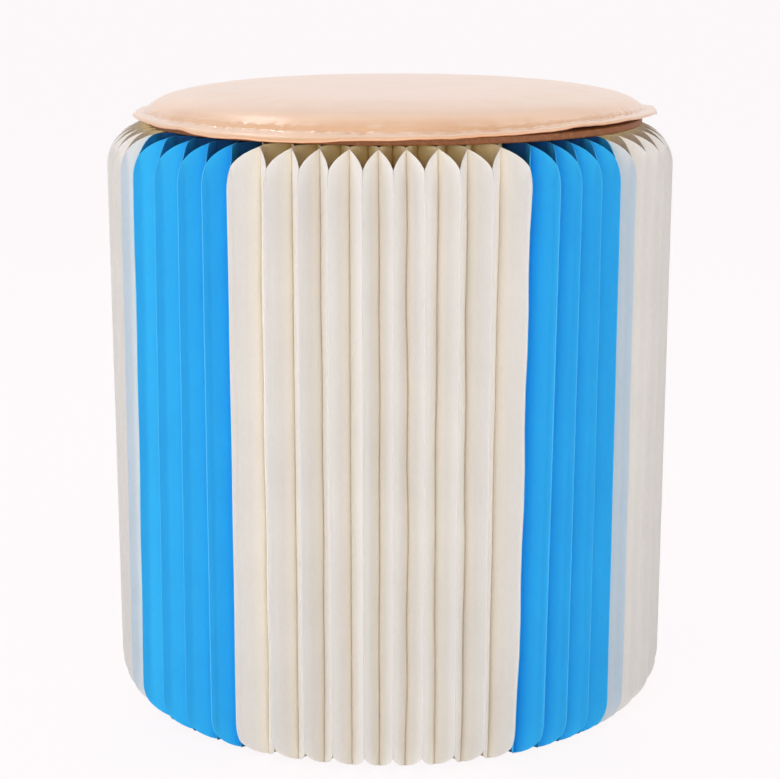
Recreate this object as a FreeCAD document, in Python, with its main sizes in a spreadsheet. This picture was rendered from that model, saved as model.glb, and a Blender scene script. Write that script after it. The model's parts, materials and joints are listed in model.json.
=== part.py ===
import FreeCAD, Part
import math
import os

import Sketcher

# Folding paper stool. Upright leaves of paper, glued to each other along upright lines, fan out round
# the Z axis from a fixed end board to a swinging one. The boards meet back to back in the plane X = 0
# on the +Y side. Angles round the stool are counted clockwise from there, seen from above.
# The origin is on the floor, in the middle. Lengths are millimetres.

SIZES = (
    ("stool_radius", 180.0, "from the middle to the outer edges of the leaves"),
    ("body_height", 372.0, "height of the leaves and the end boards"),
    ("corner_radius", 25.0, "rounded outer corners of the leaves and the end boards"),
    ("leaf_thickness", 0.3, "one sheet of paper"),
    ("pleat_depth", 18.0, "from one glue line on a leaf to the next, which is on its other side"),
    ("glue_width", 4.0, "width of a glue line"),
    ("core_radius", 10.0, "open middle that the leaves stop short of"),
    ("board_thickness", 3.0, "each end board"),
    ("board_setback", 1.0, "outer edge of an end board inside the outer edges of the leaves"),
    ("seam_slack", 0.2, "room beside the first leaf at the inner edge of an end board"),
    ("magnet_radius", 6.0, "disc magnets in the end boards"),
    ("magnet_thickness", 2.0, "the magnets lie flush with the seam"),
    ("magnet_clearance", 0.1, "round each magnet in its pocket"),
    ("magnet_edge_margin", 16.0, "from the outer edge of a board to the middle of its magnets"),
    ("magnet_end_margin", 60.0, "from the ends of a board to the middle of its outer magnets"),
    ("seat_gap", 0.3, "between loose pieces that lie on each other"),
    ("seat_board_radius", 157.0, "round board on top of the leaves"),
    ("seat_board_thickness", 4.5, "round board on top of the leaves"),
    ("seat_board_rounding", 0.8, "rounded rims of the seat board"),
    ("pad_radius", 166.5, "rim of the seat pad"),
    ("seat_offset", 3.0, "the loose board and pad lie this far off the middle, towards +X"),
    ("rim_width", 8.0, "flat welded rim round the crown of the pad"),
    ("leather_thickness", 1.0, "both covers of the pad"),
    ("pad_side", 11.5, "height of the pad's side, from its bottom cover to its shoulder"),
    ("crown_rise", 9.2, "from the shoulder of the pad to the top of its crown"),
    ("shoulder_radius", 9.0, "rounding between the side and the crown of the pad"),
)

MAGNETS_PER_BOARD = 4
LEAVES_PER_GROUP = 3
# The colours of the groups of leaves, from the fixed end board to the front. The other half mirrors them.
HALF_COLOURS = 4 * ["white"] + 3 * ["blue"] + 6 * ["white"] + 3 * ["blue"] + 3 * ["white"]
# A shoulder takes no more than this share of the side that it rounds.
SHOULDER_SHARE = 0.8
# Points nearer than this are the same point.
SAME_PLACE = 1e-6
FULL_TURN = 360.0

doc = FreeCAD.newDocument("paper_stool")
sheet = doc.addObject("Spreadsheet::Sheet", "Sizes")
for row, (alias, number, words) in enumerate(SIZES, start=1):
    sheet.set(f"A{row}", words)
    sheet.set(f"B{row}", str(number))
    sheet.setAlias(f"B{row}", alias)
doc.recompute()


def size(alias):
    return float(sheet.get(alias))


def bind(thing, **expressions):
    """Bind properties of a document object to expressions of the sheet's cells."""
    for name, expression in expressions.items():
        thing.setExpression(name.replace("__", "."), expression)


GROUP_COLOURS = HALF_COLOURS + HALF_COLOURS[::-1]
LEAF_COUNT = LEAVES_PER_GROUP * len(GROUP_COLOURS)
LEAF_ANGLE = FULL_TURN / LEAF_COUNT
SEAM_SLOPE = math.tan(math.radians(LEAF_ANGLE))
HALF_SLOPE = math.tan(math.radians(LEAF_ANGLE / 2))

# The wedge of the first leaf also holds the end board, so the board stops where the wedge gets too narrow.
BOARD_INNER = (size("board_thickness") + size("leaf_thickness") + size("seam_slack")) / SEAM_SLOPE
BOARD_INNER_WORDS = f"(Sizes.board_thickness + Sizes.leaf_thickness + Sizes.seam_slack) / {SEAM_SLOPE!r}"
SEAT_BOARD_Z = "Sizes.body_height + Sizes.seat_gap"
PAD_Z = f"{SEAT_BOARD_Z} + Sizes.seat_board_thickness + Sizes.seat_gap"
COVER_TOP = f"{PAD_Z} + Sizes.leather_thickness"


# Leaves

def glue_lines(inner, outer):
    """Radii of the middles of the glue lines on a leaf, from its outer edge inwards."""
    half = size("glue_width") / 2
    count = int((outer - inner - 2 * half) / size("pleat_depth")) + 1
    return [outer - half - number * size("pleat_depth") for number in range(count)]


def folded_outline(inner, outer, near, far, first_is_near):
    """Plan of a folded leaf, which lies against its near and its far boundary by turns.

    near and far give the boundaries' X for a Y. The leaf lies along +Y.
    """
    half_glue = size("glue_width") / 2
    half_leaf = size("leaf_thickness") / 2
    middle = []
    for number, radius in enumerate(glue_lines(inner, outer)):
        at_near = first_is_near == (number % 2 == 0)
        for y in (radius + half_glue, radius - half_glue):
            x = near(y) + half_leaf if at_near else far(y) - half_leaf
            middle.append((x, y))
    middle.append(((near(inner) + far(inner)) / 2, inner))
    side = [FreeCAD.Vector(x - half_leaf, y, 0) for x, y in middle]
    other = [FreeCAD.Vector(x + half_leaf, y, 0) for x, y in reversed(middle)]
    return Part.Face(Part.makePolygon(side + other + side[:1]))


def die_cut(inner, outer, width):
    """The cut outline of a leaf, with two rounded outer corners, as a block that is width thick each way."""
    height = size("body_height")
    corner = size("corner_radius")
    # The middle of a quarter arc lies this far along and across from its centre.
    bend = corner * math.sqrt(0.5)

    def point(y, z):
        return FreeCAD.Vector(-width, y, z)

    lower = Part.Arc(
        point(outer - corner, 0),
        point(outer - corner + bend, corner - bend),
        point(outer, corner),
    )
    upper = Part.Arc(
        point(outer, height - corner),
        point(outer - corner + bend, height - corner + bend),
        point(outer - corner, height),
    )
    edges = [
        Part.LineSegment(point(inner, 0), point(outer - corner, 0)),
        lower,
        Part.LineSegment(point(outer, corner), point(outer, height - corner)),
        upper,
        Part.LineSegment(point(outer - corner, height), point(inner, height)),
        Part.LineSegment(point(inner, height), point(inner, 0)),
    ]
    wire = Part.Wire([edge.toShape() for edge in edges])
    return Part.Face(wire).extrude(FreeCAD.Vector(2 * width, 0, 0))


def folded_leaf(inner, outer, near, far, first_is_near):
    """One leaf along +Y: its folded plan raised to full height and cut to its outline."""
    plan = folded_outline(inner, outer, near, far, first_is_near)
    block = plan.extrude(FreeCAD.Vector(0, 0, size("body_height")))
    return block.common(die_cut(inner, outer, outer * SEAM_SLOPE)).Solids[0]


def leaf_shapes():
    """Every leaf in its place, from the fixed end board round to the swinging one."""
    reach = size("stool_radius") * math.cos(math.radians(LEAF_ANGLE / 2))
    wedge = (lambda y: -y * HALF_SLOPE, lambda y: y * HALF_SLOPE)
    near_first = folded_leaf(size("core_radius"), reach, *wedge, True)
    far_first = folded_leaf(size("core_radius"), reach, *wedge, False)
    beside_board = folded_leaf(
        BOARD_INNER,
        size("stool_radius") - size("board_setback"),
        lambda y: size("board_thickness"),
        lambda y: y * SEAM_SLOPE,
        True,
    )
    middle = FreeCAD.Vector(0, 0, 0)
    up = FreeCAD.Vector(0, 0, 1)
    leaves = [beside_board]
    for number in range(1, LEAF_COUNT - 1):
        leaf = (far_first if number % 2 else near_first).copy()
        leaf.rotate(middle, up, -(number + 0.5) * LEAF_ANGLE)
        leaves.append(leaf)
    leaves.append(beside_board.mirror(middle, FreeCAD.Vector(1, 0, 0)))
    return leaves


def leaf_groups():
    """Leaves that stay together as the stool folds, one object for each group."""
    leaves = leaf_shapes()
    groups = []
    for number, colour in enumerate(GROUP_COLOURS):
        first = number * LEAVES_PER_GROUP
        group = doc.addObject("Part::Feature", f"Leaves{number + 1:02d}")
        group.Shape = Part.makeCompound(leaves[first:first + LEAVES_PER_GROUP])
        group.Label = f"leaves_{number + 1:02d}_{colour}"
        groups.append(group)
    return groups


# Sketched pieces

def new_body(name, label):
    body = doc.addObject("PartDesign::Body", name)
    body.Label = label
    return body


def sketch_on(body, role):
    sketch = body.newObject("Sketcher::SketchObject", f"{body.Name}{role[:2]}Sketch")
    plane = next(item for item in body.Origin.OriginFeatures if item.Role == role)
    sketch.AttachmentSupport = [(plane, "")]
    sketch.MapMode = "FlatFace"
    return sketch


def constrain(sketch, expression, *arguments):
    """Add a dimension to a sketch and bind it to the sheet."""
    index = sketch.addConstraint(Sketcher.Constraint(*arguments))
    name = f"dimension{index}"
    sketch.renameConstraint(index, name)
    sketch.setExpression(f"Constraints.{name}", expression)


def closed_lines(sketch, corners):
    """Draw straight lines from corner to corner, level or upright as they lie, and join their ends."""
    count = len(corners)
    for number in range(count):
        start = FreeCAD.Vector(*corners[number], 0)
        end = FreeCAD.Vector(*corners[(number + 1) % count], 0)
        line = sketch.addGeometry(Part.LineSegment(start, end))
        level = abs(start.y - end.y) < abs(start.x - end.x)
        sketch.addConstraint(Sketcher.Constraint("Horizontal" if level else "Vertical", line))
    for number in range(count):
        sketch.addConstraint(Sketcher.Constraint("Coincident", number, 2, (number + 1) % count, 1))


def circle_on(sketch, radius_words, radius):
    """A circle round the origin of a sketch."""
    number = sketch.addGeometry(Part.Circle(FreeCAD.Vector(), FreeCAD.Vector(0, 0, 1), radius))
    sketch.addConstraint(Sketcher.Constraint("Coincident", number, 3, -1, 1))
    constrain(sketch, radius_words, "Radius", number, radius)


def pad_of(body, sketch, length_words, reversed_way=False):
    pad = body.newObject("PartDesign::Pad", f"{body.Name}Pad")
    pad.Profile = sketch
    pad.Reversed = reversed_way
    bind(pad, Length=length_words)
    return pad


def fillet_of(body, base, is_wanted, radius_words):
    """Round the edges of a feature that pass a test."""
    doc.recompute()
    names = [
        f"Edge{number}"
        for number, edge in enumerate(base.Shape.Edges, start=1)
        if is_wanted(edge)
    ]
    fillet = body.newObject("PartDesign::Fillet", f"{base.Name}Fillet")
    fillet.Base = (base, names)
    bind(fillet, Radius=radius_words)
    return fillet


# End boards

def end_board(name, label, towards_minus_x):
    """A stiff board with rounded outer corners and a row of blind pockets in its seam face."""
    body = new_body(name, label)
    outer = size("stool_radius") - size("board_setback")
    height = size("body_height")
    outline = sketch_on(body, "YZ_Plane")
    closed_lines(outline, [(BOARD_INNER, 0), (outer, 0), (outer, height), (BOARD_INNER, height)])
    outline.addConstraint(Sketcher.Constraint("PointOnObject", 0, 1, -1))
    constrain(outline, BOARD_INNER_WORDS, "DistanceX", -1, 1, 0, 1, BOARD_INNER)
    constrain(outline, "Sizes.stool_radius - Sizes.board_setback", "DistanceX", -1, 1, 1, 1, outer)
    constrain(outline, "Sizes.body_height", "DistanceY", 1, 1, 1, 2, height)
    board = pad_of(body, outline, "Sizes.board_thickness", towards_minus_x)

    def is_outer_corner(edge):
        box = edge.BoundBox
        return box.XLength > size("board_thickness") / 2 and abs(box.YMin - outer) < SAME_PLACE

    rounded = fillet_of(body, board, is_outer_corner, "Sizes.corner_radius")
    first_y = outer - size("magnet_edge_margin")
    first_z = size("magnet_end_margin")
    reach = size("magnet_radius") + size("magnet_clearance")
    hole = sketch_on(body, "YZ_Plane")
    hole.addGeometry(Part.Circle(FreeCAD.Vector(first_y, first_z, 0), FreeCAD.Vector(0, 0, 1), reach))
    constrain(hole, "Sizes.magnet_radius + Sizes.magnet_clearance", "Radius", 0, reach)
    constrain(
        hole,
        "Sizes.stool_radius - Sizes.board_setback - Sizes.magnet_edge_margin",
        "DistanceX", -1, 1, 0, 3, first_y,
    )
    constrain(hole, "Sizes.magnet_end_margin", "DistanceY", -1, 1, 0, 3, first_z)
    pocket = body.newObject("PartDesign::Pocket", f"{name}Pocket")
    pocket.Profile = hole
    pocket.Reversed = not towards_minus_x
    bind(pocket, Length="Sizes.magnet_thickness")
    doc.recompute()
    wanted_cut = math.pi * reach ** 2 * size("magnet_thickness")
    if rounded.Shape.Volume - pocket.Shape.Volume < wanted_cut / 2:
        raise RuntimeError(f"the pocket of {label} cuts nothing")
    row = body.newObject("PartDesign::LinearPattern", f"{name}Row")
    row.Originals = [pocket]
    row.Direction = (hole, ["V_Axis"])
    row.Occurrences = MAGNETS_PER_BOARD
    bind(row, Length="Sizes.body_height - 2 * Sizes.magnet_end_margin")
    body.Tip = row
    return body


def magnet_row(name, label, towards_minus_x):
    """The magnets of one board, flush with its seam face."""
    discs = []
    for number in range(MAGNETS_PER_BOARD):
        disc = doc.addObject("Part::Cylinder", f"{name}{number + 1}")
        disc.Placement.Rotation = FreeCAD.Rotation(FreeCAD.Vector(0, 1, 0), -90 if towards_minus_x else 90)
        step = f"(Sizes.body_height - 2 * Sizes.magnet_end_margin) * {number} / {MAGNETS_PER_BOARD - 1}"
        bind(
            disc,
            Radius="Sizes.magnet_radius",
            Height="Sizes.magnet_thickness",
            Placement__Base__y="Sizes.stool_radius - Sizes.board_setback - Sizes.magnet_edge_margin",
            Placement__Base__z=f"Sizes.magnet_end_margin + {step}",
        )
        discs.append(disc)
    magnets = doc.addObject("Part::Compound", name)
    magnets.Links = discs
    magnets.Label = label
    return magnets


# Seat

def round_board():
    body = new_body("SeatBoard", "seat_board")
    outline = sketch_on(body, "XY_Plane")
    circle_on(outline, "Sizes.seat_board_radius", size("seat_board_radius"))
    disc = pad_of(body, outline, "Sizes.seat_board_thickness")

    def is_rim(edge):
        return isinstance(edge.Curve, Part.Circle)

    fillet_of(body, disc, is_rim, "Sizes.seat_board_rounding")
    bind(body, Placement__Base__x="Sizes.seat_offset", Placement__Base__z=SEAT_BOARD_Z)
    return body


def crowned_disc(name, label, radius, side, shoulder_words):
    """A disc with an upright side and a crowned top, turned about its own axis.

    radius and side are pairs: the expression and its value.
    """
    body = new_body(name, label)
    radius_words, reach = radius
    side_words, side_top = side
    rise = size("crown_rise")
    sphere = (reach ** 2 + rise ** 2) / (2 * rise)
    centre = FreeCAD.Vector(0, side_top + rise - sphere, 0)
    circle = Part.Circle(centre, FreeCAD.Vector(0, 0, 1), sphere)
    section = sketch_on(body, "XZ_Plane")
    base, upright, crown, axis = section.addGeometry([
        Part.LineSegment(FreeCAD.Vector(0, 0, 0), FreeCAD.Vector(reach, 0, 0)),
        Part.LineSegment(FreeCAD.Vector(reach, 0, 0), FreeCAD.Vector(reach, side_top, 0)),
        Part.ArcOfCircle(circle, math.acos(reach / sphere), math.pi / 2),
        Part.LineSegment(FreeCAD.Vector(0, side_top + rise, 0), FreeCAD.Vector(0, 0, 0)),
    ])
    section.addConstraint([
        Sketcher.Constraint("Coincident", base, 1, -1, 1),
        Sketcher.Constraint("Coincident", base, 2, upright, 1),
        Sketcher.Constraint("Coincident", upright, 2, crown, 1),
        Sketcher.Constraint("Coincident", crown, 2, axis, 1),
        Sketcher.Constraint("Coincident", axis, 2, base, 1),
        Sketcher.Constraint("Horizontal", base),
        Sketcher.Constraint("Vertical", upright),
        Sketcher.Constraint("Vertical", axis),
        Sketcher.Constraint("PointOnObject", crown, 3, -2),
    ])
    constrain(section, radius_words, "DistanceX", base, 1, base, 2, reach)
    constrain(section, side_words, "DistanceY", upright, 1, upright, 2, side_top)
    constrain(section, f"{side_words} + Sizes.crown_rise", "DistanceY", axis, 2, axis, 1, side_top + rise)
    turned = body.newObject("PartDesign::Revolution", f"{name}Turned")
    turned.Profile = section
    turned.ReferenceAxis = (section, ["V_Axis"])
    turned.Angle = FULL_TURN

    def is_shoulder(edge):
        box = edge.BoundBox
        return box.YLength > reach and box.ZMin > side_top / 2

    fillet_of(body, turned, is_shoulder, shoulder_words)
    bind(body, Placement__Base__x="Sizes.seat_offset", Placement__Base__z=COVER_TOP)
    return body


def flat_disc(name, label, z_words):
    """One cover thickness of leather, as wide as the pad."""
    disc = doc.addObject("Part::Cylinder", name)
    disc.Label = label
    bind(
        disc,
        Radius="Sizes.pad_radius",
        Height="Sizes.leather_thickness",
        Placement__Base__x="Sizes.seat_offset",
        Placement__Base__z=z_words,
    )
    return disc


def pad_pieces():
    """The pad: a foam core between two leather covers that are welded at a flat rim."""
    crown = size("pad_radius") - size("rim_width")
    crown_words = "Sizes.pad_radius - Sizes.rim_width"
    cover = size("leather_thickness")
    shoulder = f"min(Sizes.shoulder_radius; Sizes.pad_side * {SHOULDER_SHARE})"
    foam = crowned_disc(
        "PadFoam",
        "pad_foam",
        (f"{crown_words} - Sizes.leather_thickness", crown - cover),
        ("Sizes.pad_side - Sizes.leather_thickness", size("pad_side") - cover),
        f"{shoulder} - Sizes.leather_thickness",
    )
    outside = crowned_disc(
        "PadOutside",
        "outside of the pad",
        (crown_words, crown),
        ("Sizes.pad_side", size("pad_side")),
        shoulder,
    )
    rim = flat_disc("PadRim", "rim of the top cover", COVER_TOP)
    whole = doc.addObject("Part::Fuse", "PadWhole")
    whole.Base = outside
    whole.Tool = rim
    top = doc.addObject("Part::Cut", "PadTopCover")
    top.Base = whole
    top.Tool = foam
    top.Label = "pad_top_cover"
    bottom = flat_disc("PadBottomCover", "pad_bottom_cover", PAD_Z)
    return [foam, top, bottom]


# Assembly

pieces = leaf_groups()
pieces.append(end_board("FixedEndBoard", "fixed_end_board", False))
pieces.append(end_board("SwingEndBoard", "swing_end_board", True))
pieces.append(magnet_row("FixedBoardMagnets", "fixed_board_magnets", False))
pieces.append(magnet_row("SwingBoardMagnets", "swing_board_magnets", True))
pieces.append(round_board())
pieces += pad_pieces()
doc.recompute()

for thing in doc.Objects:
    if "Invalid" in thing.State or "Error" in thing.State:
        raise RuntimeError(f"{thing.Label} failed to build: {thing.State}")
for piece in pieces:
    if piece.Shape.isNull() or not piece.Shape.isValid():
        raise RuntimeError(f"{piece.Label} has no valid shape")

os.makedirs("parts", exist_ok=True)
for piece in pieces:
    piece.Shape.exportStep(f"parts/{piece.Label}.step")
    solids = len(piece.Shape.Solids)
    print(f"{piece.Label}: {solids} solids, {piece.Shape.Volume / 1000:.1f} cubic centimetres")
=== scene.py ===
# %% [markdown]
# A folding paper stool. It is a fan of upright paper leaves, glued to each other in lines, that opens
# into a full ring and carries a loose seat board and a padded leather seat. The solids of the stool come
# from a CAD model, which is loaded here as a fixed frame. Each later step dresses one kind of piece, and
# takes its place from that frame, so nothing has to be fitted by eye.

# %% Load the solids
import json
import math
import random

import bmesh
import bpy
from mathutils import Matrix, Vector, noise


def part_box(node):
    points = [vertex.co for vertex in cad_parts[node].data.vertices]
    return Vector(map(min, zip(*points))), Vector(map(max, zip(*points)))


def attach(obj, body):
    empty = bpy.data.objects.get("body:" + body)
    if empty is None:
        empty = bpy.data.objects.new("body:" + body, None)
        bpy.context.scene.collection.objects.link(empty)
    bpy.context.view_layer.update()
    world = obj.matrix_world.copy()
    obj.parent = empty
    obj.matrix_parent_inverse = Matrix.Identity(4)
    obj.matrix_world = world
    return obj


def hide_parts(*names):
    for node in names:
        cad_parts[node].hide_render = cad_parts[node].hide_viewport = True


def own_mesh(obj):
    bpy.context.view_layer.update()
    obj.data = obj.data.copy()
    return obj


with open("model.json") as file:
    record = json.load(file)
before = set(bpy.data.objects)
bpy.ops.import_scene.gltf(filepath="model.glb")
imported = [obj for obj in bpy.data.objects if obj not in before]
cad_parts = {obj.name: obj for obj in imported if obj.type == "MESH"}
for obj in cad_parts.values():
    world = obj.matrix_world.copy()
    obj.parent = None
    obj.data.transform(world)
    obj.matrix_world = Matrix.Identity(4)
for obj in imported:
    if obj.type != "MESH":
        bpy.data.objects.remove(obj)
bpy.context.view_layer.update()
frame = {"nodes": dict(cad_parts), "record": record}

MM = 0.001

# %% [markdown]
# Two helpers serve every finish. Colours are written as the hex values that a colour picker shows, and
# Blender's shaders want linear light, so one function turns one into the other. Shader graphs are built
# by adding nodes one at a time, and a single function that sets and links a node keeps that readable.

# %% Helpers for finishes


def linear(hex_colour):
    """An sRGB hex colour as linear red, green, blue and alpha."""
    channels = [int(hex_colour[start:start + 2], 16) / 255 for start in (0, 2, 4)]
    return [c / 12.92 if c <= 0.04045 else ((c + 0.055) / 1.055) ** 2.4 for c in channels] + [1.0]


def add(tree, kind, inputs=None, stops=None, **settings):
    """Add a node: set properties and inputs, link the inputs given as sockets, fill a ramp's stops."""
    node = tree.nodes.new(kind)
    for name, value in settings.items():
        setattr(node, name, value)
    for key, value in (inputs or {}).items():
        if isinstance(value, bpy.types.NodeSocket):
            tree.links.new(value, node.inputs[key])
        else:
            node.inputs[key].default_value = value
    for number, (place, hex_colour) in enumerate(stops or []):
        ramp = node.color_ramp
        stop = ramp.elements[number] if number < 2 else ramp.elements.new(place)
        stop.position = place
        stop.color = linear(hex_colour)
    return node


def new_finish(name):
    """An empty material, its node tree, and the place of each shaded point on the unmoved object."""
    material = bpy.data.materials.new(name)
    material.use_nodes = True
    tree = material.node_tree
    tree.nodes.clear()
    place = add(tree, "ShaderNodeTexCoord")
    return material, tree, place


def finish_with(tree, shader):
    add(tree, "ShaderNodeOutputMaterial", {"Surface": shader.outputs[0]})


# %% [markdown]
# The leaves set most of the stool's look, so their sizes come next. What the solids can tell is read
# from them: the height, the radius, the number of leaves. The few sizes of a single leaf that a box
# can't tell, such as its glue lines and its round corners, are written once here.

# %% Sizes of the leaves
LEAVES_PER_GROUP = 3
LEAF_THICKNESS = 0.3 * MM
PLEAT_DEPTH = 18 * MM
GLUE_WIDTH = 4 * MM
CORE_RADIUS = 10 * MM
CORNER_RADIUS = 25 * MM

leaf_nodes = sorted(name for name in frame["nodes"] if name.startswith("leaves_"))
board_low, board_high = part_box("fixed_end_board")
BODY_HEIGHT = board_high.z
BOARD_THICKNESS = board_high.x
STOOL_RADIUS = max(
    math.hypot(vertex.co.x, vertex.co.y)
    for name in leaf_nodes
    for vertex in frame["nodes"][name].data.vertices
)
LEAF_COUNT = LEAVES_PER_GROUP * len(leaf_nodes)
LEAF_STEP = math.tau / LEAF_COUNT
LEAF_REACH = STOOL_RADIUS * math.cos(LEAF_STEP / 2)
print(f"{LEAF_COUNT} leaves, {BODY_HEIGHT / MM:.0f} mm high, {STOOL_RADIUS / MM:.0f} mm from the axis")

# %% [markdown]
# The paper is a heavy uncoated sheet, dyed through. It has no gloss, only a faint cloudiness from its
# fibres. Inside the pleats light bounces from sheet to sheet and takes on more of the dye each time, so
# the depths look darker and richer than the outside. A renderer cuts such bouncing short, so that shade
# is painted into the colour: a ramp runs over the distance from the stool's outer edge, from the lit ridge
# to the deep cell, and paints khaki shade into the cells of the white sheets and navy shade into those of
# the blue ones. At the valleys the white is painted a little paler and the blue a little darker. The part
# under the seat, which shows when the stool is folded, has the sheet's own colour again. Fibres are about
# 0.1 mm wide, too fine to show here, so the mottle is drawn at 1.5 mm. The sheet is thin enough for light
# to come through it, which subsurface scattering over about its thickness gives.

# %% Paper finishes
PLEAT_SHADE_DEPTH = 60 * MM
FIBRE_MOTTLE = 1.5 * MM
LIGHT_REACH = 0.5 * MM
CLOUD_SIZE = 45 * MM


def paper(name, stops, edge_colour, see_through):
    """Dyed uncoated paper, and the paler cut edge of the same sheet. stops run from the core outwards; the
    inner ones paint shade into the deep cells.
    """
    material, tree, place = new_finish(name)
    flat = add(tree, "ShaderNodeVectorMath", {
        0: place.outputs["Object"], 1: (1, 1, 0),
    }, operation="MULTIPLY")
    radius = add(tree, "ShaderNodeVectorMath", {0: flat.outputs[0]}, operation="LENGTH")
    depth = add(tree, "ShaderNodeMapRange", {
        "Value": radius.outputs["Value"],
        "From Min": STOOL_RADIUS - PLEAT_SHADE_DEPTH,
        "From Max": STOOL_RADIUS,
    })
    # The ramp gives the sheet's own colour outside and under the seat, and painted shade in the deep cells.
    dye_and_painted_shade = add(tree, "ShaderNodeValToRGB", {"Fac": depth.outputs[0]}, stops)
    stretch = add(tree, "ShaderNodeMapping", {"Vector": place.outputs["Object"], "Scale": (1, 1, 0.35)})
    fibres = add(tree, "ShaderNodeTexNoise", {
        "Vector": stretch.outputs[0], "Scale": 1 / FIBRE_MOTTLE, "Detail": 4, "Roughness": 0.6,
    })
    clouds = add(tree, "ShaderNodeTexNoise", {"Vector": place.outputs["Object"], "Scale": 1 / CLOUD_SIZE})
    mixed = add(tree, "ShaderNodeMath", {0: fibres.outputs[0], 1: clouds.outputs[0]}, operation="ADD")
    level = add(tree, "ShaderNodeMapRange", {
        "Value": mixed.outputs[0], "From Min": 0.6, "From Max": 1.4, "To Min": 0.95, "To Max": 1.03,
    })
    colour = add(tree, "ShaderNodeMix", {
        0: 1.0, 6: dye_and_painted_shade.outputs[0], 7: level.outputs[0],
    }, data_type="RGBA", blend_type="MULTIPLY")
    bump = add(tree, "ShaderNodeBump", {
        "Height": fibres.outputs[0], "Strength": 0.25, "Distance": 0.06 * MM,
    })
    shader = add(tree, "ShaderNodeBsdfPrincipled", {
        "Base Color": colour.outputs[2], "Roughness": 0.88, "IOR": 1.45, "Normal": bump.outputs[0],
        "Subsurface Weight": see_through, "Subsurface Radius": (1, 1, 1), "Subsurface Scale": LIGHT_REACH,
    })
    finish_with(tree, shader)

    edge, tree, place = new_finish(f"{name}_cut_edge")
    layers = add(tree, "ShaderNodeTexNoise", {"Vector": place.outputs["Object"], "Scale": 1 / FIBRE_MOTTLE})
    shade = add(tree, "ShaderNodeMapRange", {"Value": layers.outputs[0], "To Min": 0.9, "To Max": 1.05})
    colour = add(tree, "ShaderNodeMix", {
        0: 1.0, 6: linear(edge_colour), 7: shade.outputs[0],
    }, data_type="RGBA", blend_type="MULTIPLY")
    shader = add(tree, "ShaderNodeBsdfPrincipled", {"Base Color": colour.outputs[2], "Roughness": 0.95})
    finish_with(tree, shader)
    return material, edge


# Stops at 0.25 and 0.62 are painted shade: khaki in the white's deep cells, navy in the blue's. At 0.71, the
# valleys, the white is painted paler and the blue darker. The stops at 0 and from 0.82 out are the sheets'
# own colours.
PAPERS = {
    "white": paper("cream_paper", [
        (0.0, "EBE8E4"), (0.25, "F8DC98"), (0.62, "F8E0AE"),
        (0.71, "F8F0E2"), (0.82, "EAE6DF"), (1.0, "EBE9E7"),
    ], "DCD8D0", see_through=0.4),
    "blue": paper("sky_blue_paper", [
        (0.0, "32BEF8"), (0.25, "05406E"), (0.62, "0B5E9C"),
        (0.71, "24B4F2"), (0.82, "32BEF8"), (1.0, "3CC2FA"),
    ], "52BCEE", see_through=0.7),
}
print("papers:", ", ".join(PAPERS))

# %% [markdown]
# Every leaf starts as the same flat sheet. It is die cut with two round corners and scored where it will
# be folded. One polygon with two bevelled corners gives the cut, and planes that slice it give the score
# lines. The outermost folds show most, so they get extra lines to bend along, and a few level lines let
# the sheet sway a little over its height.

# %% The flat leaf blank
CORNER_SEGMENTS = 10
LEVEL_LINES = 14
OUTER_PLEATS = 3
OUTER_CUTS = 6
INNER_CUTS = 2


def glue_radii(inner, outer):
    """Distances of a leaf's glue lines from the axis, from its outer edge inwards."""
    count = int((outer - inner - GLUE_WIDTH) / PLEAT_DEPTH) + 1
    return [outer - GLUE_WIDTH / 2 - number * PLEAT_DEPTH for number in range(count)]


def slice_at(bm, place, normal):
    whole = bm.verts[:] + bm.edges[:] + bm.faces[:]
    bmesh.ops.bisect_plane(bm, geom=whole, plane_co=place, plane_no=normal)


def leaf_blank(inner, outer):
    """A flat, scored sheet in the plane X = 0, with its outer corners rounded."""
    bm = bmesh.new()
    corners = [(inner, 0), (outer, 0), (outer, BODY_HEIGHT), (inner, BODY_HEIGHT)]
    sheet = bm.faces.new([bm.verts.new((0, y, z)) for y, z in corners])
    bmesh.ops.bevel(
        bm, geom=[v for v in sheet.verts if v.co.y > inner], offset=CORNER_RADIUS, offset_type="OFFSET",
        segments=CORNER_SEGMENTS, profile=0.5, affect="VERTICES", material=-1,
    )
    for number, radius in enumerate(glue_radii(inner, outer)):
        start = radius - GLUE_WIDTH / 2
        panel = PLEAT_DEPTH - GLUE_WIDTH
        cuts = OUTER_CUTS if number < OUTER_PLEATS else INNER_CUTS
        for step in range(cuts + 1):
            slice_at(bm, (0, start - panel * step / cuts, 0), (0, 1, 0))
    straight = BODY_HEIGHT - 2 * CORNER_RADIUS
    for step in range(LEVEL_LINES + 1):
        slice_at(bm, (0, 0, CORNER_RADIUS + straight * step / LEVEL_LINES), (0, 0, 1))
    return bm


full_blank = leaf_blank(CORE_RADIUS, LEAF_REACH)
board_blank = leaf_blank(board_low.y, board_high.y)
print("faces scored on a blank:", len(full_blank.faces))

# %% [markdown]
# Neighbouring leaves meet at boundaries that fan out from the axis. Even boundaries are ridges, glued at
# the outer edge, and odd ones are valleys, glued one pleat further in. On a stool that has been opened by
# hand the fan is never quite even: the front is a little more crowded than the back, each ridge sits a
# touch to one side, some lean, and the sheets sway. A seeded random generator gives the same unevenness
# every run, and the ridges at the front are listed one by one.

# %% Where the boundaries between the leaves lie
FRONT_CROWDING = 0.025
NUDGE = math.radians(0.25)
SWAY = math.radians(0.10)
RIPPLE_SHARE = 0.8
RIPPLE_COUNT = 4
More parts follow.
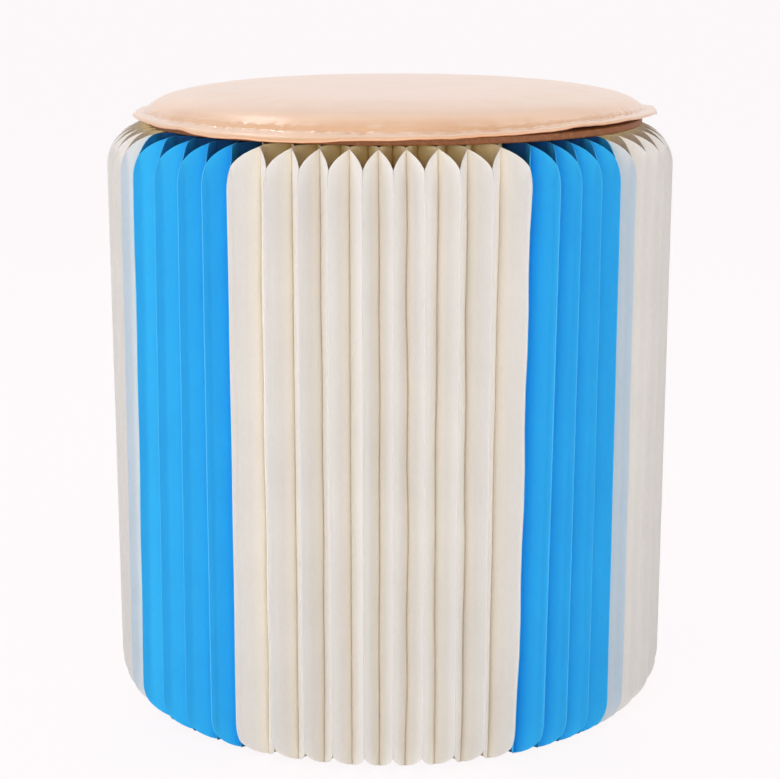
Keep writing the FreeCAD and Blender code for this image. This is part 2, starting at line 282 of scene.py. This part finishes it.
# Ridges that show from the front, from right to left, in degrees to the right of the crowded spread: how
# far the middle of the ridge is moved, and how much further its top leans.
FRONT_RIDGES = (
    (-0.8, 0.0), (-1.5, 0.0), (-2.2, 0.0), (-1.6, 0.0), (-1.1, 0.2), (-0.5, 0.6), (0.3, 0.9), (0.3, 1.0),
    (-0.5, 0.3), (-0.35, 0.1), (-0.4, 0.0), (0.0, 0.0), (0.6, 0.0), (0.5, 0.0), (1.1, 0.0), (0.8, 0.0),
    (-0.7, 0.1), (-0.5, 0.2), (-1.0, 0.7), (-2.1, 1.0), (-4.2, 1.2), (-5.0, 1.2), (-4.4, 1.0), (-3.4, 0.6),
    (-2.2, 0.3), (-1.0, 0.0),
)
FIRST_FRONT_RIDGE = 34

unevenness = random.Random(11)
nudges = [unevenness.gauss(0, NUDGE) for _ in range(LEAF_COUNT + 1)]
sways = [(unevenness.gauss(0, SWAY), unevenness.uniform(0, math.tau)) for _ in range(LEAF_COUNT + 1)]
leans = [0.0] * (LEAF_COUNT + 1)
for number, (aside, leaning) in enumerate(FRONT_RIDGES):
    ridge = FIRST_FRONT_RIDGE + 2 * number
    nudges[ridge] = -math.radians(aside)
    nudges[ridge + 1] = 0.0
    leans[ridge] = -math.radians(leaning)
for valley in range(1, LEAF_COUNT, 2):
    nudges[valley] = (nudges[valley - 1] + nudges[valley + 1] + nudges[valley]) / 2
    leans[valley] = (leans[valley - 1] + leans[valley + 1]) / 2


def boundary_angle(number, z):
    """Clockwise angle of a boundary from the seam at the back, seen from above."""
    from_front = number * LEAF_STEP - math.pi
    crowded = from_front - FRONT_CROWDING * math.sin(from_front)
    sway, phase = sways[number]
    turn = math.tau * z / BODY_HEIGHT
    swaying = sway * (math.sin(turn + phase) + RIPPLE_SHARE * math.sin(RIPPLE_COUNT * turn + 2 * phase))
    leaning = leans[number] * (2 * z / BODY_HEIGHT - 1)
    return math.pi + crowded + nudges[number] + leaning + swaying


def boundary_x(number, y, z, turn):
    """Sideways place of a boundary in the frame of a leaf that is turned clockwise. The ends are boards."""
    if number == 0:
        return BOARD_THICKNESS
    if number == LEAF_COUNT:
        return -BOARD_THICKNESS
    return y * math.tan(boundary_angle(number, z) - turn)


print("ridges set by hand at the front:", len(FRONT_RIDGES))

# %% [markdown]
# Folding is a matter of moving the blank's vertices sideways. A leaf lies flat on one boundary along each
# glue line and crosses to the other in between. Paper doesn't bend in dead straight panels, so each
# crossing is part straight line and part smooth S. Three leaves make one piece, which is also how many
# stay together as one body when the stool folds up.

# %% Fold and place the leaves
PANEL_SOFTNESS = 0.3
EDGE_STEP = 0.25 * MM
TOP_STEP = 0.4 * MM
CRISP_ANGLE = math.radians(50)


def crossing(y, inner, radii, first_side):
    """Where a leaf lies at a distance from the axis: -1 on its near boundary, 1 on its far one."""
    half_glue = GLUE_WIDTH / 2
    number = min(int((radii[0] + half_glue - y) / PLEAT_DEPTH), len(radii) - 1)
    side = first_side * (-1) ** number
    past = radii[number] - half_glue - y
    if past <= 0:
        return side
    if number == len(radii) - 1:
        return side * max(0.0, 1 - past / (radii[number] - half_glue - inner))
    share = past / (PLEAT_DEPTH - GLUE_WIDTH)
    smooth = share * share * (3 - 2 * share)
    return side * (1 - 2 * (share + PANEL_SOFTNESS * (smooth - share)))


def folded_leaf(number):
    """One leaf as a bmesh in its place."""
    beside_board = number in (0, LEAF_COUNT - 1)
    inner, outer = (board_low.y, board_high.y) if beside_board else (CORE_RADIUS, LEAF_REACH)
    middle = (boundary_angle(number, BODY_HEIGHT / 2) + boundary_angle(number + 1, BODY_HEIGHT / 2)) / 2
    turn = (0.0 if number == 0 else math.tau) if beside_board else middle
    radii = glue_radii(inner, outer)
    first_side = 1 if number % 2 else -1
    edge_step = unevenness.uniform(-EDGE_STEP, 0)
    top_step = unevenness.uniform(0, TOP_STEP)
    bm = (board_blank if beside_board else full_blank).copy()
    for vertex in bm.verts:
        y, z = vertex.co.y, vertex.co.z
        near = boundary_x(number, y, z, turn)
        far = boundary_x(number + 1, y, z, turn)
        room = (far - near - LEAF_THICKNESS) / 2
        x = (near + far) / 2 + crossing(y, inner, radii, first_side) * room
        y += edge_step
        vertex.co.x = x * math.cos(turn) + y * math.sin(turn)
        vertex.co.y = y * math.cos(turn) - x * math.sin(turn)
        vertex.co.z = z * (1 - top_step / BODY_HEIGHT)
    return bm


def crisp_edges():
    """A node group that shades edges flat where faces meet at more than a given angle."""
    tree = bpy.data.node_groups.new("crisp_edges", "GeometryNodeTree")
    for way in ("INPUT", "OUTPUT"):
        tree.interface.new_socket("Geometry", in_out=way, socket_type="NodeSocketGeometry")
    paper_in = add(tree, "NodeGroupInput")
    angle = add(tree, "GeometryNodeInputMeshEdgeAngle")
    smooth = add(tree, "FunctionNodeCompare", {0: angle.outputs[0], 1: CRISP_ANGLE}, operation="LESS_THAN")
    shaded = add(tree, "GeometryNodeSetShadeSmooth", {
        "Geometry": paper_in.outputs[0], "Shade Smooth": smooth.outputs[0],
    }, domain="EDGE")
    add(tree, "NodeGroupOutput", {0: shaded.outputs[0]})
    return tree


def leaf_group(number, colour):
    """Three folded leaves as one object."""
    bm = bmesh.new()
    for leaf in range(number * LEAVES_PER_GROUP, (number + 1) * LEAVES_PER_GROUP):
        sheet = bpy.data.meshes.new("one leaf")
        folded = folded_leaf(leaf)
        folded.to_mesh(sheet)
        folded.free()
        bm.from_mesh(sheet)
        bpy.data.meshes.remove(sheet)
    for face in bm.faces:
        face.smooth = True
    mesh = bpy.data.meshes.new(f"folded_leaves_{number + 1:02d}")
    bm.to_mesh(mesh)
    bm.free()
    for material in PAPERS[colour]:
        mesh.materials.append(material)
    group = bpy.data.objects.new(mesh.name, mesh)
    bpy.context.collection.objects.link(group)
    thick = group.modifiers.new("paper thickness", "SOLIDIFY")
    thick.thickness = LEAF_THICKNESS
    thick.offset = 0
    thick.material_offset_rim = 1
    crisp = group.modifiers.new("crisp cut edges", "NODES")
    crisp.node_group = crisp_group
    weighted = group.modifiers.new("flat panels", "WEIGHTED_NORMAL")
    weighted.weight = 100
    weighted.keep_sharp = True
    return group


crisp_group = crisp_edges()
groups = []
for number, node in enumerate(leaf_nodes):
    groups.append(leaf_group(number, node.rsplit("_", 1)[1]))
print("leaf groups:", len(groups), "with", sum(len(g.data.polygons) for g in groups), "faces")

# %% [markdown]
# When the stool closes, each group swings back to the first board and, on the real stool, its leaves press
# flat. The swing comes from the joints of the frame: each group hangs on the body of its solid, which is
# hidden. The leaves are not pressed here.

bodies = frame["record"]["behaviour"]["bodies"]
body_of_node = {node: body for body, nodes in bodies.items() for node in nodes}
for number, (group, node) in enumerate(zip(groups, leaf_nodes)):
    spread = 2 * STOOL_RADIUS * math.tan(LEAVES_PER_GROUP * LEAF_STEP / 2)
    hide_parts(node)
    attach(group, body_of_node[node])
    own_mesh(group)

# %% [markdown]
# The end boards are greyboard covered with paper. Their solids have the right shape, so they stay and
# only get a finish. The faces show the cover, and the thin edges show the pressed grey layers, which a
# direction test on the unmoved object tells apart. The layers are 0.4 mm on the real board.

# %% Greyboard and magnets
BOARD_LAYER = 0.4 * MM
FACE_TEST = 0.7


def covered_greyboard():
    material, tree, place = new_finish("covered_greyboard")
    axes = add(tree, "ShaderNodeSeparateXYZ", {0: place.outputs["Normal"]})
    facing = add(tree, "ShaderNodeMath", {0: axes.outputs[0]}, operation="ABSOLUTE")
    is_face = add(tree, "ShaderNodeMath", {0: facing.outputs[0], 1: FACE_TEST}, operation="GREATER_THAN")
    across = add(tree, "ShaderNodeSeparateXYZ", {0: place.outputs["Object"]})
    layer = add(tree, "ShaderNodeMath", {
        0: across.outputs[0], 1: math.tau / BOARD_LAYER,
    }, operation="MULTIPLY")
    wave = add(tree, "ShaderNodeMath", {0: layer.outputs[0]}, operation="SINE")
    layers = add(tree, "ShaderNodeValToRGB", {"Fac": wave.outputs[0]}, [(0.0, "9C9184"), (1.0, "B8AD9E")])
    fibres = add(tree, "ShaderNodeTexNoise", {
        "Vector": place.outputs["Object"], "Scale": 1 / FIBRE_MOTTLE, "Detail": 4,
    })
    cover = add(tree, "ShaderNodeValToRGB", {"Fac": fibres.outputs[0]}, [(0.3, "D9CDBB"), (0.7, "E6DCCD")])
    colour = add(tree, "ShaderNodeMix", {
        0: is_face.outputs[0], 6: layers.outputs[0], 7: cover.outputs[0],
    }, data_type="RGBA")
    bump = add(tree, "ShaderNodeBump", {
        "Height": fibres.outputs[0], "Strength": 0.3, "Distance": 0.05 * MM,
    })
    shader = add(tree, "ShaderNodeBsdfPrincipled", {
        "Base Color": colour.outputs[2], "Roughness": 0.85, "Normal": bump.outputs[0],
    })
    finish_with(tree, shader)
    return material


def plated_nickel():
    material, tree, place = new_finish("plated_nickel")
    scuffs = add(tree, "ShaderNodeTexNoise", {
        "Vector": place.outputs["Object"], "Scale": 1 / (0.8 * MM), "Detail": 6, "Distortion": 1.5,
    })
    rough = add(tree, "ShaderNodeMapRange", {"Value": scuffs.outputs[0], "To Min": 0.18, "To Max": 0.42})
    shader = add(tree, "ShaderNodeBsdfPrincipled", {
        "Base Color": linear("C9C4BA"), "Metallic": 1.0, "Roughness": rough.outputs[0],
    })
    finish_with(tree, shader)
    return material


def refinish(node, material):
    """Give a solid of the frame another finish."""
    slots = frame["nodes"][node].data.materials
    slots.clear()
    slots.append(material)


greyboard = covered_greyboard()
nickel = plated_nickel()
for side in ("fixed", "swing"):
    refinish(f"{side}_end_board", greyboard)
    refinish(f"{side}_board_magnets", nickel)
print("end boards and magnets finished")

# %% [markdown]
# The round seat board is brown hardboard: wood fibres pressed with heat, dark and slightly waxy. Its real
# sawn rim is rougher and paler, which this finish doesn't draw. Its solid stays too. One noise gives the
# fibres, and the same noise in the roughness breaks up the sheen.

# %% Seat board
HARDBOARD_FIBRE = 3 * MM


def hardboard():
    material, tree, place = new_finish("hardboard")
    fibres = add(tree, "ShaderNodeTexNoise", {
        "Vector": place.outputs["Object"], "Scale": 1 / HARDBOARD_FIBRE, "Detail": 8, "Roughness": 0.7,
        "Distortion": 1.2,
    })
    colour = add(tree, "ShaderNodeValToRGB", {"Fac": fibres.outputs[0]}, [
        (0.25, "6A3A18"), (0.5, "8E5428"), (0.75, "AC7644"),
    ])
    rough = add(tree, "ShaderNodeMapRange", {"Value": fibres.outputs[0], "To Min": 0.45, "To Max": 0.75})
    bump = add(tree, "ShaderNodeBump", {
        "Height": fibres.outputs[0], "Strength": 0.4, "Distance": 0.15 * MM,
    })
    shader = add(tree, "ShaderNodeBsdfPrincipled", {
        "Base Color": colour.outputs[0], "Roughness": rough.outputs[0], "Normal": bump.outputs[0],
    })
    finish_with(tree, shader)
    return material


refinish("seat_board", hardboard())
print("seat board finished")

# %% [markdown]
# The seat pad is a foam disc between two discs of leather that are welded together at a thin rim. Its
# outline is turned: a half section is drawn as a line of points and spun round the pad's own axis. The
# section follows a soft pad, steep beside the weld and nearly flat in the middle, as a sum of two curves.
# At the very edge the two leathers are melted into one, so the top cover's lip wraps the lower one.

# %% Turn the pad's top cover
PAD_STEPS = 160
CROWN_RINGS = 30
EDGE_RISE = 6.1 * MM
EDGE_REACH = 5.7 * MM
CROWN_RISE = 9.0 * MM
CROWN_POWER = 6
WELD_RISE = 2.1 * MM
RIM_WIDTH = 8 * MM
COVER = 1 * MM
LIP = 1.2 * MM
BASE_RINGS = (1, 0.85, 0.4, 0)

pad_low, pad_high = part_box("pad_top_cover")
PAD_CENTRE = (pad_low.x + pad_high.x) / 2
PAD_RADIUS = (pad_high.x - pad_low.x) / 2
WELD_RADIUS = PAD_RADIUS - RIM_WIDTH
PAD_BASE = pad_low.z


def crown_height(radius):
    """Height of the cover above the pad's base, inside the weld."""
    inwards = WELD_RADIUS - radius
    steep = EDGE_RISE * (1 - math.exp(-inwards / EDGE_REACH))
    return WELD_RISE + steep + CROWN_RISE * (1 - (radius / WELD_RADIUS) ** CROWN_POWER)


def cover_section():
    """Half section of the top cover and its foam, from the middle of the crown round to the base."""
    points = []
    for step in range(CROWN_RINGS):
        share = step / (CROWN_RINGS - 1)
        radius = WELD_RADIUS * math.sin(share * math.pi / 2) ** 0.8
        points.append((radius, crown_height(radius)))
    points += [
        (WELD_RADIUS + 1.2 * MM, WELD_RISE - 0.3 * MM),
        (WELD_RADIUS + 2.6 * MM, WELD_RISE - 0.5 * MM),
        (WELD_RADIUS + RIM_WIDTH / 2, WELD_RISE - 0.6 * MM),
        (PAD_RADIUS - 2 * LIP, COVER + 0.4 * MM),
        (PAD_RADIUS - 0.5 * LIP, COVER),
        (PAD_RADIUS, 0),
        (PAD_RADIUS - 0.3 * LIP, -0.8 * COVER),
        (PAD_RADIUS - LIP, -0.95 * COVER),
        (PAD_RADIUS - 1.2 * LIP, 0),
    ]
    return points + [(WELD_RADIUS * share, 0) for share in BASE_RINGS]


def turned(name, section, base):
    """Spin a half section round the pad's axis into a closed mesh object."""
    bm = bmesh.new()
    points = [bm.verts.new((PAD_CENTRE + radius, 0, base + height)) for radius, height in section]
    lines = [bm.edges.new(pair) for pair in zip(points, points[1:])]
    bmesh.ops.spin(
        bm, geom=points + lines, cent=(PAD_CENTRE, 0, 0), axis=(0, 0, 1), angle=math.tau,
        steps=PAD_STEPS, use_merge=True,
    )
    bmesh.ops.remove_doubles(bm, verts=bm.verts[:], dist=1e-6)
    bmesh.ops.recalc_face_normals(bm, faces=bm.faces[:])
    for face in bm.faces:
        face.smooth = True
    mesh = bpy.data.meshes.new(name)
    bm.to_mesh(mesh)
    bm.free()
    piece = bpy.data.objects.new(name, mesh)
    bpy.context.collection.objects.link(piece)
    return piece


cushion = turned("pad_cushion", cover_section(), PAD_BASE)
print("cushion turned:", len(cushion.data.vertices), "vertices")

# %% [markdown]
# Leather over foam is never a perfect dome. A short cloth simulation lets the crown swell: the rim and
# the base are pinned, gravity is off and a little pressure pushes from inside. How far a point may move
# is eased towards a cap, so the pad keeps the space that its solid holds.

# %% Swell the crown
SWELL_FRAMES = 20
SWELL_CAP = 0.6 * MM
PAD_PRESSURE = 4
STILL_MIDDLE = 25 * MM


def pad_polar(point):
    """Distance and direction of a point from the pad's axis."""
    x = point.x - PAD_CENTRE
    return math.hypot(x, point.y), math.atan2(point.y, x)


def swell(piece):
    """Run the cloth simulation and keep its result in the mesh."""
    pins = piece.vertex_groups.new(name="pins")
    for vertex in piece.data.vertices:
        radius, _ = pad_polar(vertex.co)
        if radius > WELD_RADIUS - 2 * MM or vertex.co.z < PAD_BASE + COVER:
            pins.add([vertex.index], 1.0, "REPLACE")
    cloth = piece.modifiers.new("leather", "CLOTH")
    cloth.settings.vertex_group_mass = pins.name
    cloth.settings.use_pressure = True
    cloth.settings.uniform_pressure_force = PAD_PRESSURE
    cloth.settings.effector_weights.gravity = 0
    cloth.settings.quality = 6
    cloth.point_cache.frame_end = SWELL_FRAMES
    scene = bpy.context.scene
    for step in range(1, SWELL_FRAMES + 1):
        scene.frame_set(step)
    swollen = piece.evaluated_get(bpy.context.evaluated_depsgraph_get()).data
    moves = [after.co - before.co for after, before in zip(swollen.vertices, piece.data.vertices)]
    piece.modifiers.remove(cloth)
    scene.frame_set(1)
    for vertex, move in zip(piece.data.vertices, moves):
        radius, _ = pad_polar(vertex.co)
        middle = min(1.0, radius / STILL_MIDDLE)
        vertex.co += move * (middle * SWELL_CAP / (SWELL_CAP + move.length))
    return max(move.length for move in moves)


print(f"crown swells by up to {swell(cushion) / MM:.1f} mm before the cap")

# %% [markdown]
# The rim is thin and has been handled, so it waves, droops over the edge of the seat board on the left
# and curls up on the right. A short list of lifts round the pad gives the large bend. Noise gives the small
# waves and the puckers that the weld pulls into the leather. The bottom cover bends along.

# %% Bend the rim
# Direction in degrees counter-clockwise from +X, and the lift of the rim there in millimetres.
RIM_LIFTS = (
    (0, 1.2), (30, 1.0), (60, 0.8), (90, 0.3), (135, -0.2), (180, -0.6), (195, -0.2), (210, -0.8),
    (223, -1.7), (228, -3.2), (245, -3.6), (258, -2.9), (270, -1.7), (285, -0.7), (295, -0.2),
    (305, 1.4), (318, 2.7), (333, 3.0), (347, 2.4), (360, 1.2),
)
LIFT_START = 118 * MM
WAVE_LENGTH = 28 * MM
WAVE_HEIGHT = 1.3 * MM
CRIMP_LENGTH = 7 * MM
CRIMP_HEIGHT = 0.4 * MM
PUCKER_LENGTH = 4 * MM
PUCKER_HEIGHT = 1.2 * MM
PUCKER_REACH = 3 * MM
POLE_RADIUS = 0.5 * MM
UNDER_TOP = 0.98 * COVER
UNDER_RINGS = (0, 0.4, 0.8, 1)

seat_board_low, seat_board_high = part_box("seat_board")
SEAT_BOARD_RADIUS = (seat_board_high.x - seat_board_low.x) / 2


def rim_lift(angle):
    """Lift of the rim in a direction, eased between the listed lifts."""
    degrees = math.degrees(angle) % 360
    for (start, before), (end, after) in zip(RIM_LIFTS, RIM_LIFTS[1:]):
        if degrees <= end:
            share = (degrees - start) / (end - start)
            ease = share * share * (3 - 2 * share)
            return MM * (before + (after - before) * ease)


def around(angle, length, layer):
    """Noise along the rim with waves of a length."""
    reach = PAD_RADIUS / length
    return noise.noise(Vector((math.cos(angle) * reach, math.sin(angle) * reach, layer)))


def halve_steps(piece):
    """Cut every edge that runs round the pad in two, so that small puckers have points to bend at."""
    bm = bmesh.new()
    bm.from_mesh(piece.data)
    rounds = []
    for edge in bm.edges:
        (radius, angle), (other_radius, other_angle) = (pad_polar(vertex.co) for vertex in edge.verts)
        turn = abs(math.remainder(other_angle - angle, math.tau))
        if min(radius, other_radius) > POLE_RADIUS and turn > math.pi / PAD_STEPS:
            rounds.append(edge)
    bmesh.ops.subdivide_edges(bm, edges=rounds, cuts=1, use_grid_fill=True)
    for face in bm.faces:
        face.smooth = True
    bm.to_mesh(piece.data)
    bm.free()


def bend_rim(piece):
    for vertex in piece.data.vertices:
        radius, angle = pad_polar(vertex.co)
        lift = rim_lift(angle)
        start = LIFT_START if lift > 0 else SEAT_BOARD_RADIUS
        share = max(0.0, (radius - start) / (PAD_RADIUS - start))
        wave = WAVE_HEIGHT * around(angle, WAVE_LENGTH, 0) + CRIMP_HEIGHT * around(angle, CRIMP_LENGTH, 3)
        near_rim = max(0.0, (radius - SEAT_BOARD_RADIUS) / (PAD_RADIUS - SEAT_BOARD_RADIUS))
        from_weld = (radius - WELD_RADIUS) / PUCKER_REACH
        pucker = 0.0
        if vertex.co.z > PAD_BASE + COVER:
            pucker = PUCKER_HEIGHT * math.exp(-from_weld ** 2) * around(angle, PUCKER_LENGTH, 7)
        vertex.co.z += lift * share ** 1.5 + wave * near_rim + pucker


bottom_low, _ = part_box("pad_bottom_cover")
under_section = [(WELD_RADIUS * share, UNDER_TOP) for share in UNDER_RINGS]
under_section += [
    (WELD_RADIUS + RIM_WIDTH / 2, UNDER_TOP),
    (PAD_RADIUS - 2 * LIP, UNDER_TOP),
    (PAD_RADIUS - 1.3 * LIP, 0.8 * COVER),
    (PAD_RADIUS - 1.2 * LIP, 0.5 * COVER),
    (PAD_RADIUS - 1.3 * LIP, 0.15 * COVER),
    (PAD_RADIUS - 2 * LIP, 0),
    (WELD_RADIUS + RIM_WIDTH / 2, 0),
]
under_section += [(WELD_RADIUS * share, 0) for share in reversed(UNDER_RINGS)]
underside = turned("pad_underside", under_section, bottom_low.z)
for piece in (cushion, underside):
    halve_steps(piece)
    bend_rim(piece)
    smooth = piece.modifiers.new("smooth leather", "SUBSURF")
    smooth.levels = 1
    smooth.render_levels = 1
print("rim bent on", cushion.name, "and", underside.name)

# %% [markdown]
# The leather is tan, with a polished finish. Its grain is a net of fine creases about 1.6 mm apart, which
# Voronoi cells draw. The weld melted the polish, so the leather is glassy there and pulled into puckers of
# about 4 mm. The cut edge of the rim is burnished, and its darker, redder colour is painted where the edge
# faces down, so it is partly painted shade on the underside of the lip. At the flat angle that the pad is
# seen from, the polish mirrors the pale room.

# %% Tan leather
GRAIN = 1.6 * MM
TONE_PATCH = 35 * MM
WELD_PUCKER = 4 * MM
WELD_PUCKER_DEPTH = 1.5 * MM
WELD_GLOSS_REACH = 3 * MM
POLISH_ROUGHNESS = 0.3
WELD_ROUGHNESS = 0.1
BURNISH_AND_SHADE_START = PAD_RADIUS - 3 * MM
BURNISH_AND_SHADE_FACING_UP = 0.35
BURNISH_AND_SHADE_FACING_DOWN = -0.6


def tan_leather():
    material, tree, place = new_finish("polished_tan_leather")
    centred = add(tree, "ShaderNodeMapping", {
        "Vector": place.outputs["Object"], "Location": (-PAD_CENTRE, 0, 0), "Scale": (1, 1, 0),
    })
    radius = add(tree, "ShaderNodeVectorMath", {0: centred.outputs[0]}, operation="LENGTH")
    at_edge = add(tree, "ShaderNodeMapRange", {
        "Value": radius.outputs["Value"], "From Min": BURNISH_AND_SHADE_START, "From Max": PAD_RADIUS - LIP,
    })
    facing = add(tree, "ShaderNodeSeparateXYZ", {0: place.outputs["Normal"]})
    downwards = add(tree, "ShaderNodeMapRange", {
        "Value": facing.outputs[2], "From Min": BURNISH_AND_SHADE_FACING_UP, "From Max": BURNISH_AND_SHADE_FACING_DOWN,
    })
    # Darker, redder colour where the rim's edge faces down: burnish, and painted shade under the lip.
    burnish_and_painted_shade = add(tree, "ShaderNodeMath", {
        0: at_edge.outputs[0], 1: downwards.outputs[0],
    }, operation="MULTIPLY")
    off_weld = add(tree, "ShaderNodeMath", {
        0: radius.outputs["Value"], 1: WELD_RADIUS,
    }, operation="SUBTRACT")
    distance = add(tree, "ShaderNodeMath", {0: off_weld.outputs[0]}, operation="ABSOLUTE")
    at_weld = add(tree, "ShaderNodeMapRange", {
        "Value": distance.outputs[0], "From Min": WELD_GLOSS_REACH, "From Max": 0,
    })
    wrinkles = add(tree, "ShaderNodeTexNoise", {
        "Vector": place.outputs["Object"], "Scale": 1 / WELD_PUCKER, "Detail": 0,
    })
    both_ways = add(tree, "ShaderNodeMath", {0: wrinkles.outputs[0], 1: 0.5}, operation="SUBTRACT")
    puckers = add(tree, "ShaderNodeMath", {
        0: both_ways.outputs[0], 1: at_weld.outputs[0],
    }, operation="MULTIPLY")
    patches = add(tree, "ShaderNodeTexNoise", {
        "Vector": place.outputs["Object"], "Scale": 1 / TONE_PATCH, "Detail": 5,
    })
    tan = add(tree, "ShaderNodeValToRGB", {"Fac": patches.outputs[0]}, [(0.3, "E5B183"), (0.7, "EFC097")])
    # D88F5C is the burnished colour of the lip, painted in as shade where it faces down.
    colour = add(tree, "ShaderNodeMix", {
        0: burnish_and_painted_shade.outputs[0], 6: tan.outputs[0], 7: linear("D88F5C"),
    }, data_type="RGBA")
    cells = add(tree, "ShaderNodeTexVoronoi", {
        "Vector": place.outputs["Object"], "Scale": 1 / GRAIN,
    }, feature="DISTANCE_TO_EDGE")
    creases = add(tree, "ShaderNodeMapRange", {"Value": cells.outputs[0], "From Max": 0.12})
    bump = add(tree, "ShaderNodeBump", {
        "Height": creases.outputs[0], "Strength": 0.12, "Distance": 0.08 * MM,
    })
    soft = add(tree, "ShaderNodeBump", {
        "Height": patches.outputs[0], "Strength": 0.15, "Distance": 0.5 * MM, "Normal": bump.outputs[0],
    })
    puckered = add(tree, "ShaderNodeBump", {
        "Height": puckers.outputs[0], "Strength": 0.7, "Distance": WELD_PUCKER_DEPTH,
        "Normal": soft.outputs[0],
    })
    rough = add(tree, "ShaderNodeMapRange", {"Value": patches.outputs[0], "To Min": 0.3, "To Max": 0.42})
    polish = add(tree, "ShaderNodeMapRange", {
        "Value": at_weld.outputs[0], "To Min": POLISH_ROUGHNESS, "To Max": WELD_ROUGHNESS,
    })
    shader = add(tree, "ShaderNodeBsdfPrincipled", {
        "Base Color": colour.outputs[2], "Roughness": rough.outputs[0], "IOR": 1.5,
        "Normal": puckered.outputs[0], "Coat Weight": 1.0, "Coat Roughness": polish.outputs[0],
        "Coat IOR": 1.6, "Coat Normal": puckered.outputs[0],
    })
    finish_with(tree, shader)
    return material


leather = tan_leather()
for piece in (cushion, underside):
    piece.data.materials.append(leather)
    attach(piece, "seat_pad")
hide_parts("pad_top_cover", "pad_foam")
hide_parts("pad_bottom_cover")
print("pad dressed in leather")

# %% [markdown]
# The stage is a pale floor under soft light. A large lamp behind the camera lights the front, two at the
# sides model the pleats and a low card throws light back up. Three more stand behind the stool for the
# leather: a far one and a high one give it the pale sheen, and a small one on the left the highlights along
# its weld. The floor and the room are shown to the camera, and to mirror-like surfaces, in one pale tone,
# and the floor keeps part of the shadow.

# %% Floor, room and lamps
PALE = "FCF8F9"
FLOOR_SIZE = 80.0
FLOOR_GLOW = 0.92
GLOW_STRENGTH = 1.05
ROOM_LIGHT = 0.45


def seen_directly(tree):
    """1 for rays from the camera, from a mirror-like surface or through glass, and 0 for the rest."""
    rays = add(tree, "ShaderNodeLightPath")
    some = add(tree, "ShaderNodeMath", {
        0: rays.outputs["Is Camera Ray"], 1: rays.outputs["Is Glossy Ray"],
    }, operation="MAXIMUM")
    return add(tree, "ShaderNodeMath", {
        0: some.outputs[0], 1: rays.outputs["Is Transmission Ray"],
    }, operation="MAXIMUM")


def pale_floor():
    material, tree, _ = new_finish("pale_floor")
    seen = seen_directly(tree)
    share = add(tree, "ShaderNodeMath", {0: seen.outputs[0], 1: FLOOR_GLOW}, operation="MULTIPLY")
    lit = add(tree, "ShaderNodeBsdfDiffuse", {"Color": linear(PALE)})
    glow = add(tree, "ShaderNodeEmission", {"Color": linear(PALE), "Strength": GLOW_STRENGTH})
    shader = add(tree, "ShaderNodeMixShader", {0: share.outputs[0], 1: lit.outputs[0], 2: glow.outputs[0]})
    finish_with(tree, shader)
    return material


def pale_room():
    world = bpy.data.worlds.new("pale_room")
    world.use_nodes = True
    tree = world.node_tree
    tree.nodes.clear()
    seen = seen_directly(tree)
    light = add(tree, "ShaderNodeBackground", {"Color": linear(PALE), "Strength": ROOM_LIGHT})
    shown = add(tree, "ShaderNodeBackground", {"Color": linear(PALE)})
    mix = add(tree, "ShaderNodeMixShader", {0: seen.outputs[0], 1: light.outputs[0], 2: shown.outputs[0]})
    add(tree, "ShaderNodeOutputWorld", {"Surface": mix.outputs[0]})
    return world


bm = bmesh.new()
bmesh.ops.create_grid(bm, x_segments=1, y_segments=1, size=FLOOR_SIZE / 2)
floor_mesh = bpy.data.meshes.new("floor")
bm.to_mesh(floor_mesh)
bm.free()
floor_mesh.materials.append(pale_floor())
floor = bpy.data.objects.new("floor", floor_mesh)
bpy.context.collection.objects.link(floor)
bpy.context.scene.world = pale_room()

# Name, place in metres, width and height in metres, power in watts.
LAMPS = (
    ("front_softbox", (-0.3, -2.1, 0.6), (1.4, 1.0), 9.0),
    ("left_softbox", (-1.9, -1.2, 0.5), (1.2, 0.9), 12.5),
    ("right_softbox", (1.9, -1.2, 0.5), (1.2, 0.9), 11.5),
    ("low_card", (0.0, -1.1, 0.08), (1.6, 0.2), 1.7),
    ("back_far", (0.0, 2.4, 1.6), (3.0, 1.4), 3.2),
    ("back_high", (0.0, 0.9, 2.1), (2.4, 1.2), 7.5),
    ("weld_lamp", (-0.7, 0.55, 1.7), (0.18, 0.18), 1.3),
)
AIM = Vector((0, 0, BODY_HEIGHT))
for name, place, spread, power in LAMPS:
    light = bpy.data.lights.new(name, "AREA")
    light.shape = "RECTANGLE"
    light.size, light.size_y = spread
    light.energy = power
    lamp = bpy.data.objects.new(name, light)
    lamp.location = place
    lamp.visible_camera = False
    lamp.rotation_mode = "QUATERNION"
    lamp.rotation_quaternion = (AIM - lamp.location).to_track_quat("-Z", "Y")
    bpy.context.collection.objects.link(lamp)
print("lamps:", len(LAMPS))

# %% [markdown]
# The camera stands a little above the seat and looks down at the stool through a long lens. Its distance,
# height and tilt were fitted to the stool's outline, in stool radii, so they follow the frame's size.

# %% Camera
CAMERA_DISTANCE = 6.966 * STOOL_RADIUS
CAMERA_HEIGHT = 2.699 * STOOL_RADIUS
CAMERA_SIDE = math.radians(2.47)
CAMERA_TILT = math.radians(13.03)

lens = bpy.data.cameras.new("camera")
lens.lens = 90
lens.sensor_width = 36
camera = bpy.data.objects.new("camera", lens)
camera.location = (
    CAMERA_DISTANCE * math.sin(CAMERA_SIDE),
    -CAMERA_DISTANCE * math.cos(CAMERA_SIDE),
    CAMERA_HEIGHT,
)
camera.rotation_euler = (math.pi / 2 - CAMERA_TILT, 0, CAMERA_SIDE)
bpy.context.collection.objects.link(camera)
bpy.context.scene.camera = camera
bpy.context.scene.view_settings.view_transform = "Standard"
print("camera stands", round(CAMERA_DISTANCE, 3), "m away")
